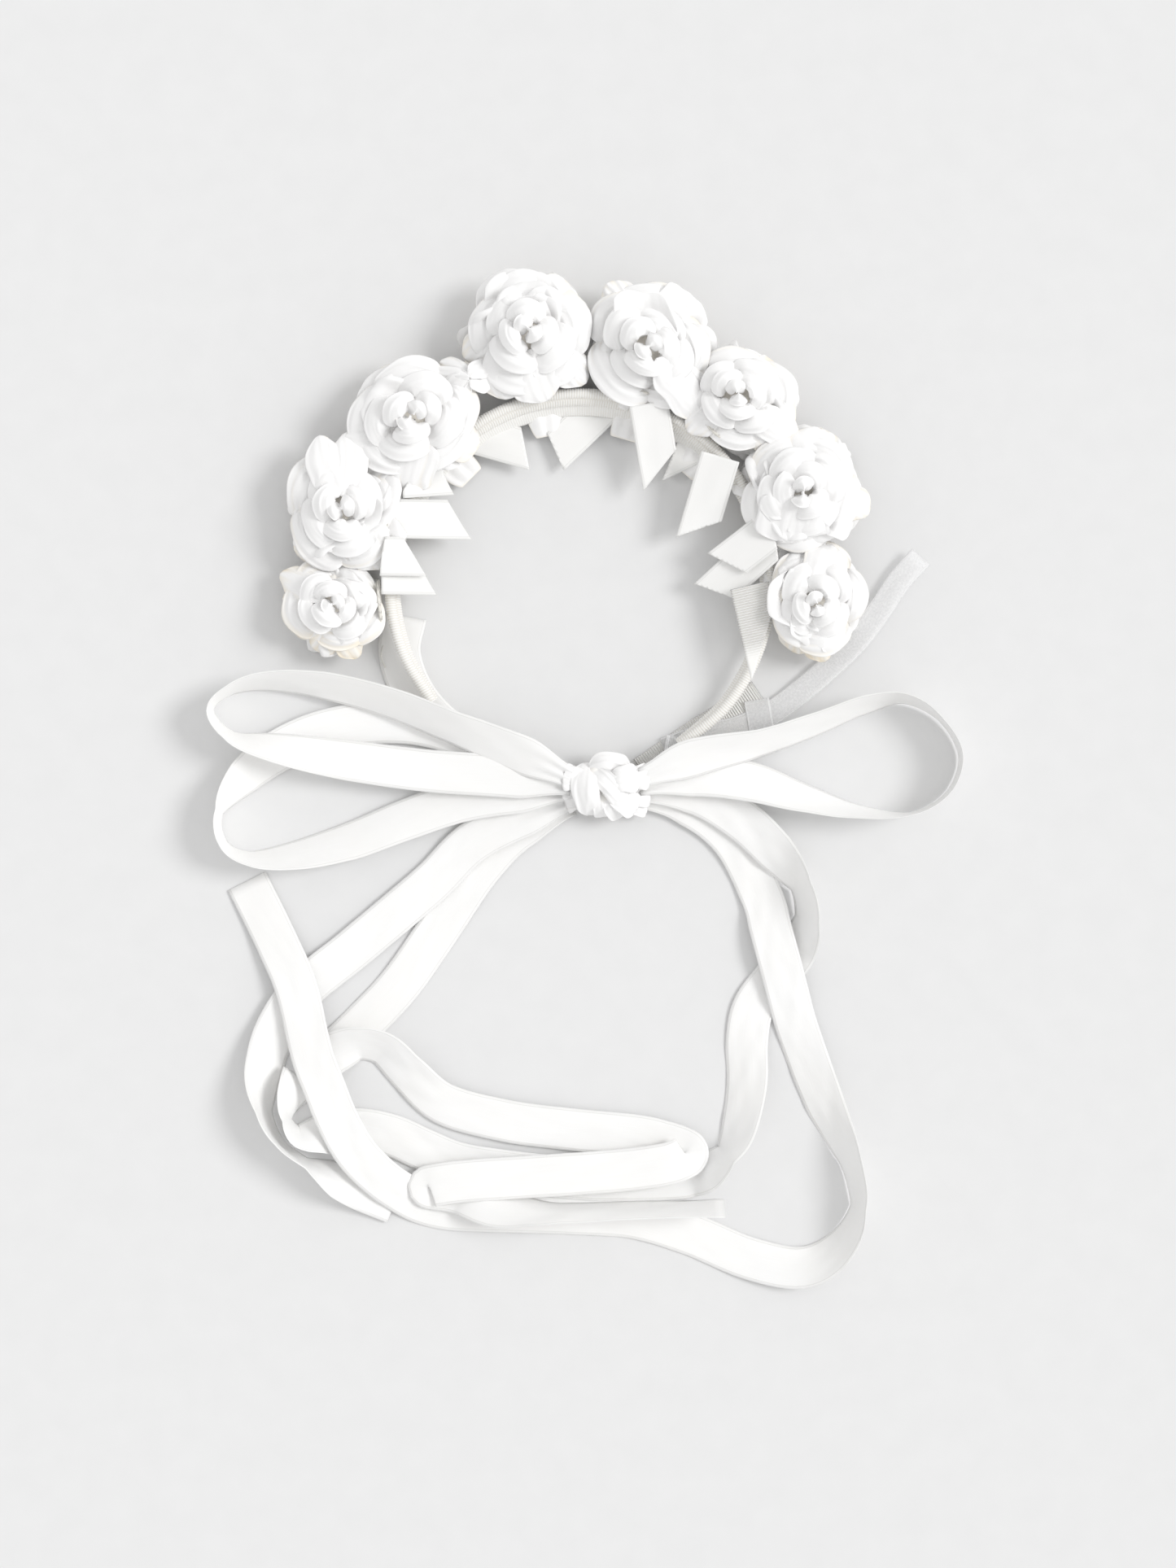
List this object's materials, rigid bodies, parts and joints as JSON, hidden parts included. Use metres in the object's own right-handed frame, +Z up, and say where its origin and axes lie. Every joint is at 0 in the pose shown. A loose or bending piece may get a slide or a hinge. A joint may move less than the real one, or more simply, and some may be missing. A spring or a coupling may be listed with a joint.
{
  "type": "flower crown",
  "caption": "Open spring band wrapped in ribbed ribbon, with satin roses, cut ribbon ends and a satin bow whose long tails trail on the table.",
  "frame": {"origin": "on the table, under the middle of the crown's own box without the bow's free ribbon", "axes": "+Z up off the table, +Y from the bow towards the middle of the flowers, +X to the end of the band where the sheer ribbon hangs out"},
  "size_m": [0.3529, 0.4735, 0.044],
  "materials": {
    "satin": "white satin ribbon, smooth sheen, woven selvedge",
    "petal": "white satin petals, soft sheen, warm in the folds",
    "grosgrain": "ivory ribbed ribbon, matt",
    "organza": "sheer woven ribbon with frayed ends",
    "felt": "matt felt backing",
    "core": "plain moulded strip",
    "thread": "twisted sewing thread"
  },
  "bodies": {
    "root": {"band_core": "core", "band_cover": "grosgrain", "rose_1_petals": "petal", "rose_1_heart": "petal", "rose_1_pad": "felt", "rose_2_petals": "petal", "rose_2_heart": "petal", "rose_2_pad": "felt", "rose_3_petals": "petal", "rose_3_heart": "petal", "rose_3_pad": "felt", "rose_4_petals": "petal", "rose_4_heart": "petal", "rose_4_pad": "felt", "rose_5_petals": "petal", "rose_5_heart": "petal", "rose_5_pad": "felt", "rose_6_petals": "petal", "rose_6_heart": "petal", "rose_6_pad": "felt", "rose_7_petals": "petal", "rose_7_heart": "petal", "rose_7_pad": "felt", "rose_8_petals": "petal", "rose_8_heart": "petal", "rose_8_pad": "felt", "petal_cluster": "petal", "ribbon_end_1": "satin", "ribbon_end_2": "satin", "ribbon_end_3": "satin", "ribbon_end_4": "satin", "ribbon_end_5": "satin", "ribbon_end_6": "satin", "ribbon_end_7": "satin", "ribbon_end_8": "satin", "ribbon_end_9": "satin", "ribbon_end_10": "satin", "ribbon_end_11": "satin", "ribbon_end_12": "satin", "thread_end": "thread", "bow_knot": "satin", "loop_upper_left": "satin", "loop_lower_left": "satin", "loop_right": "satin", "tail_inner_right": "satin", "tail_outer_right": "satin", "tail_outer_left": "satin", "tail_inner_left": "satin", "strap_left": "satin", "strap_right": "satin", "organza_ribbon": "organza"}
  },
  "joints": []
}
